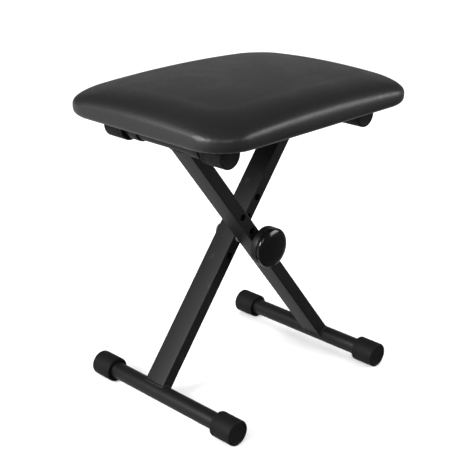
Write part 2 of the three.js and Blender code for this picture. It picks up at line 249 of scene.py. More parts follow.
class Finish:
    def __init__(self, name):
        self.material = bpy.data.materials.new(name)
        self.material.use_nodes = True
        self.tree = self.material.node_tree
        self.shader = self.tree.nodes["Principled BSDF"]
        self.place = self.add("TexCoord", {}, {}, "Object")

    def add(self, kind, settings, inputs, output=0):
        node = self.tree.nodes.new("ShaderNode" + kind)
        for setting, value in settings.items():
            setattr(node, setting, value)
        for name, value in inputs.items():
            plug(self.tree, node.inputs[name], value)
        return Wire(self.tree, node.outputs[output])

    def noise(self, scale, detail=2.0, place=None, distortion=0.0):
        inputs = {"Vector": place or self.place, "Scale": scale, "Detail": detail}
        inputs["Distortion"] = distortion
        return self.add("TexNoise", {}, inputs)

    def cells(self, scale, feature="F1", place=None, randomness=1.0):
        inputs = {"Vector": place or self.place, "Scale": scale, "Randomness": randomness}
        return self.add("TexVoronoi", {"feature": feature}, inputs, "Distance")

    def stretched(self, scale, turn=(0, 0, 0)):
        return self.add("Mapping", {}, {"Vector": self.place, "Scale": scale, "Rotation": turn})

    def wearAndHighlight(self, radius):
        # 1 on sharp edges, 0 on flat faces; colour lightened with it is edge wear and a painted highlight
        start, full = 0.02, 0.25
        soft = self.add("Bevel", {"samples": 4}, {"Radius": radius})
        true = self.add("NewGeometry", {}, {}, "Normal")
        turned = self.add("VectorMath", {"operation": "DOT_PRODUCT"}, {0: soft, 1: true}, "Value")
        return (1 - turned).between(start, full)

    def tint(self, share, low, high):
        colours = {0: share, 6: tuple(low) + (1,), 7: tuple(high) + (1,)}
        return self.add("Mix", {"data_type": "RGBA"}, colours, 2)

    def bump(self, height, distance, strength=1.0):
        inputs = {"Height": height, "Distance": distance, "Strength": strength}
        plug(self.tree, self.shader.inputs["Normal"], self.add("Bump", {}, inputs))

    def done(self, **sockets):
        names = {"colour": "Base Color", "roughness": "Roughness", "metal": "Metallic",
                 "gloss": "Specular IOR Level", "coat": "Coat Weight",
                 "coatRoughness": "Coat Roughness", "sheen": "Sheen Weight"}
        for name, value in sockets.items():
            plug(self.tree, self.shader.inputs[names[name]], value)
        return self.material


def grey(value, warmth=0.0):
    return (value * (1 + warmth), value, value * (1 - warmth))


# in the looks below, names such as grain, peel, cloud and scratch are sizes of pattern:
# how many of its features fit in a metre; depths are in metres
vinylLook = {"dark": 0.0062, "light": 0.0085, "pebble": 1050, "crease": 340,
             "wander": 160, "fineGrain": 2600, "cloud": 7, "handling": 24,
             "grainDepth": 0.00012, "roughness": 0.41, "gloss": 0.5, "warmth": -0.01}


def vinylFinish():
    finish = Finish("coverVinylFinish")
    wander = finish.noise(vinylLook["wander"], 2)
    pebbles = finish.cells(vinylLook["pebble"], "SMOOTH_F1")
    creases = 1 - finish.cells(vinylLook["crease"], "DISTANCE_TO_EDGE").between(0.0, 0.09)
    creases = creases * wander.between(0.4, 0.62)
    clouds = finish.noise(vinylLook["cloud"], 3)
    handled = finish.noise(vinylLook["handling"], 4).between(0.45, 0.75)
    height = pebbles * 0.55 - creases * 0.8 + finish.noise(vinylLook["fineGrain"], 1) * 0.25
    finish.bump(height, vinylLook["grainDepth"], 0.55)
    # the creases are drawn darker as well as sunk: painted shade in the grain's valleys
    shade = (clouds * 0.7 + handled * 0.3 - creases * 0.5).between(0.1, 0.8)
    rough = vinylLook["roughness"] + clouds * 0.06 - handled * 0.035 + creases * 0.08
    warmth = vinylLook["warmth"]
    colour = finish.tint(shade, grey(vinylLook["dark"], warmth), grey(vinylLook["light"], warmth))
    return finish.done(colour=colour, roughness=rough, gloss=vinylLook["gloss"])


# the pale colour for edges and scuffs stands for wear, and on sharp edges also for a painted highlight
powderLook = {"dark": 0.0036, "light": 0.0064, "wearAndHighlight": 0.045, "peel": 1500,
              "swell": 420, "speck": 900, "cloud": 14, "scuff": 60, "lump": 240,
              "peelDepth": 0.00010, "roughness": 0.43, "gloss": 0.24}


def powderFinish(name="powderCoatFinish", edge=0.0009, lumps=0.0):
    finish = Finish(name)
    peel = finish.noise(powderLook["peel"], 2)
    swell = finish.noise(powderLook["swell"], 1)
    specks = 1 - finish.cells(powderLook["speck"]).between(0.05, 0.16)
    clouds = finish.noise(powderLook["cloud"], 3)
    scuffed = finish.noise(powderLook["scuff"], 5, finish.stretched((1, 1, 0.35)), 0.6)
    scuffs = scuffed.between(0.66, 0.74)
    edges = finish.wearAndHighlight(edge) * clouds.between(0.25, 0.7)
    height = peel * 0.6 + swell * 0.5 + specks * 0.25
    if lumps:
        height = height + finish.noise(powderLook["lump"], 3) * lumps
    finish.bump(height, powderLook["peelDepth"], 0.6)
    base = finish.tint(clouds, grey(powderLook["dark"]), grey(powderLook["light"], -0.01))
    # sharp edges are lightened as edge wear and a painted highlight; scuffs are real wear
    wearAndHighlight = (edges * 0.5 + scuffs * 0.35).between(0.0, 1.0)
    colour = finish.add("Mix", {"data_type": "RGBA"},
                        {0: wearAndHighlight, 6: base, 7: grey(powderLook["wearAndHighlight"]) + (1,)}, 2)
    rough = powderLook["roughness"] + peel * 0.08 + clouds * 0.05 - edges * 0.1 + scuffs * 0.1
    return finish.done(colour=colour, roughness=rough, gloss=powderLook["gloss"])


rubberLook = {"dark": 0.0032, "light": 0.0065, "grain": 1900, "pit": 1300, "dust": 38,
              "grainDepth": 0.00016, "roughness": 0.62, "gloss": 0.2,
              "scuffedBelow": 0.010, "edge": 0.0012}


def rubberFinish():
    finish = Finish("capRubberFinish")
    grain = finish.noise(rubberLook["grain"], 3)
    pits = 1 - finish.cells(rubberLook["pit"]).between(0.1, 0.3)
    dust = finish.noise(rubberLook["dust"], 5).between(0.56, 0.8)
    height = finish.add("SeparateXYZ", {}, {0: finish.place}, 2)
    floorWear = height.between(rubberLook["scuffedBelow"], 0.0)
    edges = finish.wearAndHighlight(rubberLook["edge"])
    finish.bump(grain - pits * 0.6, rubberLook["grainDepth"], 0.7)
    # sharp edges are drawn lighter: edge wear and a painted highlight
    shade = (dust * 0.55 + edges * 0.35 + floorWear * 0.5).between(0.0, 1.0)
    colour = finish.tint(shade, grey(rubberLook["dark"]), grey(rubberLook["light"], 0.02))
    rough = rubberLook["roughness"] + dust * 0.12 - edges * 0.1 + grain * 0.06
    return finish.done(colour=colour, roughness=rough, gloss=rubberLook["gloss"])


knobLook = {"dark": 0.0025, "light": 0.0045, "grain": 1400, "cloud": 30, "scratch": 300,
            "scratchTurn": (0.7, 0.4, 0.2), "edge": 0.0008, "coatRoughness": 0.08}


def knobFinish(name, roughness, grainDepth, gloss, coat):
    look = knobLook
    finish = Finish(name)
    grain = finish.noise(look["grain"], 2)
    clouds = finish.noise(look["cloud"], 3)
    along = finish.stretched((1, 1, 12), look["scratchTurn"])
    scratches = finish.noise(look["scratch"], 2, along).between(0.63, 0.7)
    edges = finish.wearAndHighlight(look["edge"])
    finish.bump(grain - scratches * 0.4, grainDepth, 0.6)
    # sharp edges are drawn lighter: edge wear and a painted highlight
    shade = (clouds * 0.6 + edges * 0.6).between(0.1, 1.1)
    colour = finish.tint(shade, grey(look["dark"]), grey(look["light"]))
    rough = roughness + scratches * 0.09 + clouds * 0.05 + edges * 0.05
    return finish.done(colour=colour, roughness=rough, gloss=gloss, coat=coat,
                       coatRoughness=look["coatRoughness"])


nylonLook = {"dark": 0.018, "light": 0.027, "flow": 90, "rubbing": 45, "grain": 1200,
             "grainDepth": 0.00008, "roughness": 0.42, "gloss": 0.5}


def nylonFinish():
    look = nylonLook
    finish = Finish("nylonFinish")
    flow = finish.noise(look["flow"], 3, finish.stretched((0.3, 1, 1)), 0.8)
    rubbed = finish.noise(look["rubbing"], 4).between(0.5, 0.72)
    finish.bump(flow * 0.6 + finish.noise(look["grain"], 1) * 0.5, look["grainDepth"], 0.6)
    colour = finish.tint(flow.between(0.3, 0.7), grey(look["dark"]), grey(look["light"], 0.02))
    rough = look["roughness"] + flow * 0.1 - rubbed * 0.12
    return finish.done(colour=colour, roughness=rough, gloss=look["gloss"])


zincLook = {"dark": (0.40, 0.41, 0.42), "light": (0.66, 0.66, 0.65), "spangle": 480,
            "cloud": 70, "scratch": 700, "scratchTurn": (0.3, 0.1, 0.6), "grain": 1500,
            "edge": 0.0004, "grainDepth": 0.00005, "roughness": 0.27, "metal": 0.95}


def zincFinish():
    look = zincLook
    finish = Finish("zincSteelFinish")
    spangle = finish.cells(look["spangle"], "F1")
    clouds = finish.noise(look["cloud"], 4)
    along = finish.stretched((1, 9, 1), look["scratchTurn"])
    scratches = finish.noise(look["scratch"], 2, along).between(0.58, 0.66)
    edges = finish.wearAndHighlight(look["edge"])
    height = scratches * -0.5 + finish.noise(look["grain"], 2) * 0.4
    finish.bump(height, look["grainDepth"], 0.6)
    shade = (spangle * 0.5 + clouds * 0.6 - scratches * 0.2).between(0.1, 0.9)
    colour = finish.tint(shade, look["dark"], look["light"])
    rough = look["roughness"] + clouds * 0.16 + scratches * 0.1 - edges * 0.08
    return finish.done(colour=colour, roughness=rough, metal=look["metal"] - clouds * 0.1)


brassLook = {"clean": (0.62, 0.43, 0.17), "dull": (0.35, 0.22, 0.08), "turning": 600,
             "tarnish": 120, "grainDepth": 0.00004, "roughness": 0.26, "metal": 0.95}


def brassFinish():
    look = brassLook
    finish = Finish("insertBrassFinish")
    turning = finish.noise(look["turning"], 1, finish.stretched((0.02, 3, 0.02)))
    tarnish = finish.noise(look["tarnish"], 4).between(0.45, 0.7)
    finish.bump(turning, look["grainDepth"], 0.5)
    colour = finish.tint(tarnish, look["clean"], look["dull"])
    rough = look["roughness"] + tarnish * 0.2
    return finish.done(colour=colour, roughness=rough, metal=look["metal"])


plywoodLook = {"dark": (0.36, 0.21, 0.10), "light": (0.62, 0.43, 0.24), "layerPair": 0.0034,
               "grain": 120, "pore": 900, "grainDepth": 0.0002, "roughness": 0.72, "gloss": 0.3}


def plywoodFinish():
    look = plywoodLook
    finish = Finish("plywoodFinish")
    height = finish.add("SeparateXYZ", {}, {0: finish.place}, 2)
    phase = height * (2 * pi / look["layerPair"])
    layers = phase.work("SINE", phase)
    grain = finish.noise(look["grain"], 5, finish.stretched((0.06, 1, 0.5)), 1.2)
    pores = finish.noise(look["pore"], 2, finish.stretched((0.05, 1, 1))).between(0.6, 0.7)
    finish.bump(grain * 0.5 - pores * 0.6, look["grainDepth"], 0.6)
    shade = (grain * 0.8 + layers * 0.12 - pores * 0.3).between(0.2, 0.8)
    colour = finish.tint(shade, look["dark"], look["light"])
    rough = look["roughness"] + grain * 0.12
    return finish.done(colour=colour, roughness=rough, gloss=look["gloss"])


dustClothLook = {"dark": 0.008, "light": 0.02, "dimple": 560, "fibre": 1500, "strand": 1300,
                 "lint": 24, "grainDepth": 0.0002, "roughness": 0.88, "gloss": 0.15,
                 "sheen": 0.15}


def dustClothFinish():
    look = dustClothLook
    finish = Finish("dustClothFinish")
    dimples = finish.cells(look["dimple"], "F1", randomness=0.15)
    fibres = finish.noise(look["fibre"], 4, finish.stretched((1, 0.25, 1), (0, 0, 0.5)))
    strands = finish.noise(look["strand"], 4, finish.stretched((0.25, 1, 1), (0, 0, -0.4)))
    lint = finish.noise(look["lint"], 4).between(0.5, 0.8)
    finish.bump(dimples * 0.7 + fibres * 0.3 + strands * 0.3, look["grainDepth"], 0.8)
    shade = (fibres * 0.5 + strands * 0.4 - dimples * 0.25 + lint * 0.2).between(0.2, 0.8)
    colour = finish.tint(shade, grey(look["dark"]), grey(look["light"]))
    rough = look["roughness"] + lint * 0.08
    return finish.done(colour=colour, roughness=rough, gloss=look["gloss"], sheen=look["sheen"])


vinyl = vinylFinish()
powder = powderFinish()
powderOnWeld = powderFinish("powderOnWeldFinish", edge=0.0006, lumps=1.4)
rubber = rubberFinish()
skirtPlastic = knobFinish("knobSkirtFinish", roughness=0.36, grainDepth=0.00008, gloss=0.3, coat=0.0)
domePlastic = knobFinish("knobDomeFinish", roughness=0.15, grainDepth=0.000008, gloss=0.3, coat=0.15)
nylon = nylonFinish()
zinc = zincFinish()
brass = brassFinish()
plywood = plywoodFinish()
dustCloth = dustClothFinish()
print("finishes made")


seatLow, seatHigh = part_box("seat_cover")
seatMiddle = (seatLow + seatHigh) / 2
seatHalf = (seatHigh - seatLow) / 2
cushionShape = {
    "edgeInset": 0.009,  # how far the lower edge curls in
    "curlHeight": 0.006,
    "rollDrop": 0.0032,  # padded edge rolled down past the board
    "rollReach": 0.016,
    "shoulderReach": 0.056,
    "shoulderStart": 0.0165,  # height at which the shoulder begins
    "shoulderTop": 0.0425,
    "shoulderSlack": 1.02,  # 1 is a full round shoulder, 2 a straight slope
    "cornerRadius": 0.052,
    "cornerTaper": 0.2,  # how fast the corner radius shrinks with the inset
    "cornerDrop": 0.0135,  # cover pulled down over each corner
    "crown": 0.0035,  # middle above the shoulder before it is filled
    "voxel": 0.004,
    "pressure": 4.0,
    "stiffness": 30.0,
    "steps": 20,
    "mostMove": 0.024,
    "fillShare": 0.3,  # firm foam, so the cover keeps this much of the swell
    "calmRounds": 60,
    "heldHeight": 0.016,  # cover held tight round the board up to here
    "heldFade": 0.022,
    "turnUnder": 0.018,  # cover stapled under the board
    "lip": 0.0015,
    "pleatDepth": 0.0010,
    "pleatTurns": 28,  # folds in a full turn of the corner
    "pleatStart": 0.004,  # inset at which the folds begin
    "pleatReach": 0.006,
}


def seatScale(inset, fromInset):
    across = (seatHalf.x - inset) / (seatHalf.x - fromInset)
    deep = (seatHalf.y - inset) / (seatHalf.y - fromInset)
    return (across, deep, 1)


def growSeat(rings, height, inset):
    # draws the selected face out through (inset, height) rings
    for nextInset, nextHeight in rings:
        rise = (0, 0, nextHeight - height)
        bpy.ops.mesh.extrude_region_move(TRANSFORM_OT_translate={"value": rise})
        middle = (seatMiddle.x, seatMiddle.y, seatLow.z + nextHeight)
        bpy.ops.transform.resize(value=seatScale(nextInset, inset), center_override=middle)
        height, inset = nextHeight, nextInset


def roundedSlab(name, inset, radius, lowZ, highZ, steps=10):
    low = (seatLow.x + inset, seatLow.y + inset, lowZ)
    high = (seatHigh.x - inset, seatHigh.y - inset, highZ)
    slab = addBlock(name, low, high)
    editParts(slab, "EDGE", lambda edge: abs(edge.verts[0].co.z - edge.verts[1].co.z) > 1e-4)
    bpy.ops.mesh.bevel(offset=radius, segments=steps, affect="EDGES")
    letGo()
    return slab


def quarter(start, end, steps, slack=1.0):
    # (inset, height) rings from an upright start round to a level end
    rings = []
    for step in range(1, steps + 1):
        angle = pi / 2 * step / steps
        inset = end[0] + (start[0] - end[0]) * max(cos(angle), 0) ** slack
        rings.append((inset, start[1] + (end[1] - start[1]) * sin(angle) ** slack))
    return rings


def cornerRadiusAt(inset):
    return cushionShape["cornerRadius"] - inset * cushionShape["cornerTaper"]


def calmMoves(cushion, moves, rounds):
    # evens the moves out between neighbours
    taken = 0.6
    ends = np.zeros(len(cushion.data.edges) * 2, int)
    cushion.data.edges.foreach_get("vertices", ends)
    first, second = ends[0::2], ends[1::2]
    count = np.bincount(ends, minlength=len(moves))[:, None]
    for _ in range(rounds):
        total = np.zeros_like(moves)
        np.add.at(total, first, moves[second])
        np.add.at(total, second, moves[first])
        moves = (1 - taken) * moves + taken * total / count
    return moves


def placesOf(piece):
    places = np.zeros(len(piece.data.vertices) * 3)
    piece.data.vertices.foreach_get("co", places)
    return places.reshape(-1, 3)


def fillCushion(cushion):
    # cloth blown up from inside, held where the cover is tight round the board
    shape = cushionShape
    held = cushion.vertex_groups.new(name="held")
    heldTop = seatLow.z + shape["heldHeight"]
    for vertex in cushion.data.vertices:
        ease = (vertex.co.z - heldTop) / shape["heldFade"]
        held.add([vertex.index], max(0.0, min(1.0, 1 - ease)) ** 2, "REPLACE")
    before = placesOf(cushion)
    cloth = cushion.modifiers.new("Cloth", "CLOTH")
    cloth.settings.quality = 5
    cloth.settings.use_pressure = True
    cloth.settings.uniform_pressure_force = shape["pressure"]
    cloth.settings.tension_stiffness = shape["stiffness"]
    cloth.settings.compression_stiffness = shape["stiffness"]
    cloth.settings.shear_stiffness = shape["stiffness"] / 2
    cloth.settings.effector_weights.gravity = 0
    cloth.settings.vertex_group_mass = "held"
    for step in range(1, shape["steps"] + 1):
        scene.frame_set(step)
    holdOnly(cushion)
    bpy.ops.object.modifier_apply(modifier=cloth.name)
    scene.frame_set(1)
    moves = placesOf(cushion) - before
    length = np.linalg.norm(moves, axis=1, keepdims=True)
    print("cushion filled, most move", round(float(length.max()) * 1000, 2), "mm, usual",
          round(float(np.median(length)) * 1000, 2), "mm")
    moves *= np.minimum(1, shape["mostMove"] / np.maximum(length, 1e-9)) * shape["fillShare"]
    after = before + calmMoves(cushion, moves, shape["calmRounds"])
    cushion.data.vertices.foreach_set("co", after.ravel())
    cushion.data.update()
    cushion.vertex_groups.clear()


def insetOf(vertex):
    # how far a point lies inside the seat's outline, corners taken as round
    radius = cushionShape["cornerRadius"]
    across = abs(vertex.co.x - seatMiddle.x) - (seatHalf.x - radius)
    deep = abs(vertex.co.y - seatMiddle.y) - (seatHalf.y - radius)
    if across > 0 and deep > 0:
        return radius - hypot(across, deep)
    return radius - max(across, deep)


def flattenLip(cushion):
    # the cover lies flat where it is stapled to the board
    for vertex in cushion.data.vertices:
        if vertex.co.z < seatLow.z + 0.0022 and insetOf(vertex) > cushionShape["rollReach"] - 0.001:
            vertex.co.z = seatLow.z


def pleatCorners(cushion):
    # folds of spare cover gathered under each corner
    shape = cushionShape
    radius = shape["cornerRadius"]
    for vertex in cushion.data.vertices:
        across = abs(vertex.co.x - seatMiddle.x) - (seatHalf.x - radius)
        deep = abs(vertex.co.y - seatMiddle.y) - (seatHalf.y - radius)
        if vertex.co.z > seatLow.z + 0.002 or across <= 0 or deep <= 0:
            continue
        angle = atan2(deep, across)
        share = min(1.0, sin(2 * angle) * 1.6)
        share *= min(1.0, max(0.0, (insetOf(vertex) - shape["pleatStart"]) / shape["pleatReach"]))
        fold = 0.5 + 0.5 * cos(angle * shape["pleatTurns"])
        vertex.co.z += shape["pleatDepth"] * share * fold


def dropCorners(cushion):
    shape = cushionShape
    start, top = seatLow.z + shape["curlHeight"], seatLow.z + shape["shoulderTop"]
    for vertex in cushion.data.vertices:
        share = min(max((vertex.co.z - start) / (top - start), 0), 1)
        across = (vertex.co.x - seatMiddle.x) / seatHalf.x
        deep = (vertex.co.y - seatMiddle.y) / seatHalf.y
        vertex.co.z -= shape["cornerDrop"] * share * (across * deep) ** 2


def makeCushion():
    shape = cushionShape
    reach, top = shape["shoulderReach"], shape["shoulderTop"]
    cushion = roundedSlab("seat_cushion", 0, shape["cornerRadius"],
                          seatLow.z + shape["curlHeight"], seatLow.z + shape["shoulderStart"], 14)
    editParts(cushion, "FACE", lambda face: face.normal.z > 0.9)
    shoulder = quarter((0, shape["shoulderStart"]), (reach, top), 10, shape["shoulderSlack"])
    growSeat(shoulder, shape["shoulderStart"], 0)
    crown, crownSteps = [], 9
    for step in range(1, crownSteps):
        share = step / crownSteps
        inset = reach + share * (seatHalf.y - reach)
        crown.append((inset, top + shape["crown"] * (1 - (1 - share) ** 2)))
    growSeat(crown, top, reach)
    editParts(cushion, "FACE", lambda face: face.normal.z < -0.9)
    curl = quarter((0, shape["curlHeight"]), (shape["edgeInset"], -shape["rollDrop"]), 6)
    curl += [(shape["rollReach"] - 0.003, -shape["rollDrop"] * 0.5), (shape["rollReach"], 0)]
    growSeat(curl, shape["curlHeight"], 0)
    letGo()
    cushion.data.remesh_voxel_size = shape["voxel"]
    holdOnly(cushion)
    bpy.ops.object.voxel_remesh()
    dropCorners(cushion)
    finishWith(cushion, "SMOOTH", factor=0.5, iterations=2)
    fillCushion(cushion)
    finishWith(cushion, "SMOOTH", factor=0.5, iterations=1)
    finishWith(cushion, "SUBSURF", levels=1, render_levels=1)
    flattenLip(cushion)
    pleatCorners(cushion)
    boardLow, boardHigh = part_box("seat_board")
    openingInset = shape["edgeInset"] + shape["turnUnder"]
    opening = roundedSlab("opening", openingInset, cornerRadiusAt(openingInset),
                          seatLow.z - 0.002, boardLow.z)
    room = roundedSlab("boardRoom", shape["edgeInset"], cornerRadiusAt(shape["edgeInset"]),
                       seatLow.z + shape["lip"], boardHigh.z + 0.0003)
    carve(cushion, opening, room)
    smoothBelow(cushion, 40)
    dress(cushion, "seat", "cover_vinyl", vinyl, "seat_cover", "seat_foam")


stapleShape = {"width": 0.010, "wire": 0.0011, "proud": 0.0006, "sunk": 0.0003, "ease": 0.0003,
               "pitch": 0.033, "inset": 0.018, "cornerTrim": 0.046, "cornerRadius": 0.044,
               "cornerPlaces": (0.28, 0.72), "wobble": 0.09}


def makeStaples():
    shape = stapleShape
    low = (-shape["width"] / 2, -shape["wire"] / 2, -shape["proud"])
    staple = addBlock("cover_staples", low, (shape["width"] / 2, shape["wire"] / 2, shape["sunk"]))
    editParts(staple, "EDGE", lambda edge: True)
    bpy.ops.mesh.bevel(offset=shape["ease"], segments=2, affect="EDGES")
    letGo()
    halfX, halfY = seatHalf.x - shape["inset"], seatHalf.y - shape["inset"]
    straightX, straightY = halfX - shape["cornerTrim"], halfY - shape["cornerTrim"]
    places = []
    for side in (-1, 1):
        count = round(2 * straightX / shape["pitch"])
        for index in range(count + 1):
            places.append((-straightX + 2 * straightX * index / count, side * halfY, 0))
        count = round(2 * straightY / shape["pitch"])
        for index in range(count + 1):
            places.append((side * halfX, -straightY + 2 * straightY * index / count, pi / 2))
        for end in (-1, 1):
            for share in shape["cornerPlaces"]:
                angle = share * pi / 2
                x = side * (straightX + shape["cornerRadius"] * cos(angle))
                y = end * (straightY + shape["cornerRadius"] * sin(angle))
                places.append((x, y, side * end * (angle + pi / 2)))
    copies = []
    for index, (x, y, turn) in enumerate(places):
        wobble = shape["wobble"] * sin(index * 2.4)
        move = (seatMiddle.x + x, seatMiddle.y + y, seatLow.z)
        copies.append(twinOf(staple, f"staple{index}", move, (0, 0, turn + wobble)))
    bpy.data.objects.remove(staple)
    staples = joinInto(copies[0], *copies[1:])
    staples.name = "cover_staples"
    staples.data.name = "cover_staples"
    smoothBelow(staples, 45)
    dress(staples, "seat", "zinc_steel", zinc)


sheetShape = {"columns": 90, "rows": 72, "thickness": 0.0005, "lift": 0.0007, "ripple": 0.00028}


def makeDustSheet():
    # thin cloth stretched over the underside of the board
    shape = sheetShape
    low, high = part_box("dust_cover")
    letGo()
    size = high - low
    place = (seatMiddle.x, seatMiddle.y, low.z + shape["lift"])
    bpy.ops.mesh.primitive_grid_add(x_subdivisions=shape["columns"], y_subdivisions=shape["rows"],
                                    size=1, location=place)
    sheet = bpy.context.object
    sheet.scale = (size.x, size.y, 1)
    settle(sheet, "dust_sheet")
    radius = cornerRadiusAt(seatHalf.x - size.x / 2)
    straightX, straightY = size.x / 2 - radius, size.y / 2 - radius
    for vertex in sheet.data.vertices:
        x, y = vertex.co.x - seatMiddle.x, vertex.co.y - seatMiddle.y
        past = Vector((max(abs(x) - straightX, 0), max(abs(y) - straightY, 0)))
        if past.x > 0 and past.y > 0:
            square = max(past.x, past.y)
            past = past.normalized() * square
            vertex.co.x = seatMiddle.x + (straightX + past.x) * (1 if x > 0 else -1)
            vertex.co.y = seatMiddle.y + (straightY + past.y) * (1 if y > 0 else -1)
        ripple = sin(x * 38 + 1.1 * sin(y * 21)) * sin(y * 45 + 0.8 * sin(x * 17))
        vertex.co.z += shape["ripple"] * ripple
    finishWith(sheet, "SOLIDIFY", thickness=shape["thickness"], offset=0)
    smoothBelow(sheet, 40)
    dress(sheet, "seat", "dust_cloth", dustCloth, "dust_cover")


makeCushion()
makeStaples()
makeDustSheet()
print("seat made")


def easedCopy(node, name, width, body, slot, finish):
    # the node's own shape with its edges rounded off
    piece = bpy.data.objects.new(name, frame["nodes"][node].data.copy())
    scene.collection.objects.link(piece)
    piece.data.name = name
    editParts(piece, "VERT", lambda vertex: True)
    bpy.ops.mesh.remove_doubles(threshold=1e-6)
    bpy.ops.mesh.dissolve_limited(angle_limit=radians(1))
    letGo()
    finishWith(piece, "BEVEL", width=width, segments=2, limit_method="ANGLE",
               angle_limit=radians(40), use_clamp_overlap=True)
    smoothBelow(piece, 32)
    dress(piece, body, slot, finish, node)
    return piece


def crossRecess(size, width, depth):
    # two crossed blocks that sink a driver recess into a head that faces down
    tools = []
    for x, y in ((size, width), (width, size)):
        tools.append(addBlock("recess", (-x, -y, -0.001), (x, y, depth)))
    return tools


strapScrewShape = {"headRadius": 0.0056, "headHeight": 0.0034, "rimEase": 0.0002, "radius": 0.003,
                   "tip": 0.0015, "recess": (0.0026, 0.00055, 0.0017)}
padScrewShape = {"headRadius": 0.004, "rimEase": 0.0003, "rim": 0.0002, "radius": 0.0019,
                 "tip": 0.0019, "recess": (0.0021, 0.00045, 0.0013)}


def strapScrewModel():
    shape = strapScrewShape
    low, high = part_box("strap_screw_front_outer")
    length = high.z - low.z
    outline = [(0, 0)]
    for step in range(1, 9):
        angle = pi / 2 * step / 8
        outline.append((shape["headRadius"] * sin(angle), shape["headHeight"] * (1 - cos(angle))))
    underHead = shape["headHeight"] + 0.0001
    outline += [(shape["headRadius"] - shape["rimEase"], underHead), (shape["radius"], underHead)]
    outline += [(shape["radius"], length - shape["tip"]), (shape["radius"] / 2, length), (0, length)]
    screw = addTurned("strapScrewModel", outline, (0, 0, 0), (0, 0, 1), 48)
    carve(screw, *crossRecess(*shape["recess"]))
    smoothBelow(screw, 40)
    return screw


def padScrewModel():
    shape = padScrewShape
    low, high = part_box("pad_screw_front_inner")
    length = high.z - low.z
    neck = shape["headRadius"] - shape["radius"]
    outline = [(0, 0), (shape["headRadius"] - shape["rimEase"], 0), (shape["headRadius"], shape["rim"])]
    outline += [(shape["radius"], neck), (shape["radius"], length - shape["tip"]), (0, length)]
    screw = addTurned("padScrewModel", outline, (0, 0, 0), (0, 0, 1), 48)
    carve(screw, *crossRecess(*shape["recess"]))
    smoothBelow(screw, 40)
    return screw


def placeScrews(model, family, turns):
    nodes = [f"{family}_{end}_{place}" for end in ("front", "rear") for place in ("outer", "inner")]
    for node, turn in zip(nodes, turns):
        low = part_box(node)[0]
        middle = middleOf(node)
        screw = twinOf(model, node + "_cross", (middle.x, middle.y, low.z), (0, 0, turn))
        dress(screw, "seat", "zinc_steel", zinc, node)
    bpy.data.objects.remove(model)


edgeEase = {"strap": 0.0004, "saddle": 0.0005, "glide": 0.0004}
screwTurns = {"strap_screw": (0.3, 1.1, 0.7, 0.1), "pad_screw": (0.2, 0.9, 0.5, 1.3)}
for end in ("front", "rear"):
    easedCopy(f"hinge_strap_{end}", f"strap_{end}", edgeEase["strap"], "seat", "powder_coat", powder)
    easedCopy(f"hinge_saddle_{end}", f"saddle_{end}", edgeEase["saddle"], "seat", "nylon", nylon)
    easedCopy(f"glide_pad_{end}", f"glide_{end}", edgeEase["glide"], "seat", "nylon", nylon)
placeScrews(strapScrewModel(), "strap_screw", screwTurns["strap_screw"])
placeScrews(padScrewModel(), "pad_screw", screwTurns["pad_screw"])
print("straps, pads and screws made")


legShape = {
    "width": 0.020,
    "wall": 0.0015,
    "cornerRadius": 0.0020,
    "cornerSteps": 6,
    "barClearance": 0.0003,
    "holeRadius": 0.0053,
    "holePitch": 0.0325,
    "holeSteps": (-1, 0, 1, 2),  # places of the height holes in pitches above the pivot
    "deburr": 0.0005,
}
barShape = {"wall": 0.0015, "edge": 0.0004}
weldShape = {"radius": 0.0021, "ripples": 46, "rippleDepth": 0.16, "wander": 0.12,
             "squareness": 9}  # 2 would run round the leg as an oval
legs = {
    "front": {"node": "front_leg", "body": "front_frame",
              "top": "left_top_bar", "foot": "right_foot_bar"},
    "rear": {"node": "rear_leg", "body": "rear_frame",
             "top": "right_top_bar", "foot": "left_foot_bar"},
}


def legDrill(depth):
    # cuts a hole right through, its rims eased
    shape, past = legShape, 0.001
    half, wide = depth / 2, shape["holeRadius"] + shape["deburr"] + past
    outline = [(0, -half - past), (wide, -half - past), (shape["holeRadius"], -half + shape["deburr"])]
    outline += [(shape["holeRadius"], half - shape["deburr"]), (wide, half + past), (0, half + past)]
    return outline


def makeLeg(name, leg):
    shape = legShape
    low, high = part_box(leg["node"])
    depth, y = high.y - low.y, (low.y + high.y) / 2
    top, foot = middleOf(leg["top"]), middleOf(leg["foot"])
    barRadius = (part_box(leg["top"])[1].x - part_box(leg["top"])[0].x) / 2
    upper = hypot(top.x - pivot.x, top.z - pivot.z)
    lower = hypot(foot.x - pivot.x, foot.z - pivot.z)
    lean = atan2(top.x - foot.x, top.z - foot.z)
    leg["lean"], leg["y"], leg["depth"], leg["barRadius"] = lean, y, depth, barRadius

    tube = addBlock(f"{name}_leg_tube", (-shape["width"] / 2, -depth / 2, -lower),
                    (shape["width"] / 2, depth / 2, upper))
    editParts(tube, "EDGE", lambda edge: edge.calc_length() > 0.3)
    bpy.ops.mesh.bevel(offset=shape["cornerRadius"], segments=shape["cornerSteps"], affect="EDGES")
    editParts(tube, "FACE", lambda face: abs(face.normal.z) > 0.9)
    bpy.ops.mesh.delete(type="FACE")
    letGo()
    finishWith(tube, "SOLIDIFY", thickness=shape["wall"], offset=-1)
    tools = []
    for place in (upper, -lower):
        ends = [(0, -0.03), (barRadius + shape["barClearance"], -0.03)]
        ends += [(barRadius + shape["barClearance"], 0.03), (0, 0.03)]
        tools.append(addTurned("cope", ends, (0, 0, place), (0, 1, 0)))
    for step in shape["holeSteps"]:
        tools.append(addTurned("drill", legDrill(depth), (0, 0, step * shape["holePitch"]),
                               (0, 1, 0), 48))
    carve(tube, *tools)
    smoothBelow(tube, 32)
    tube.rotation_euler.y = lean
    tube.location = (pivot.x, y, pivot.z)
    settle(tube, tube.name)
    dress(tube, leg["body"], "powder_coat", powder, leg["node"])


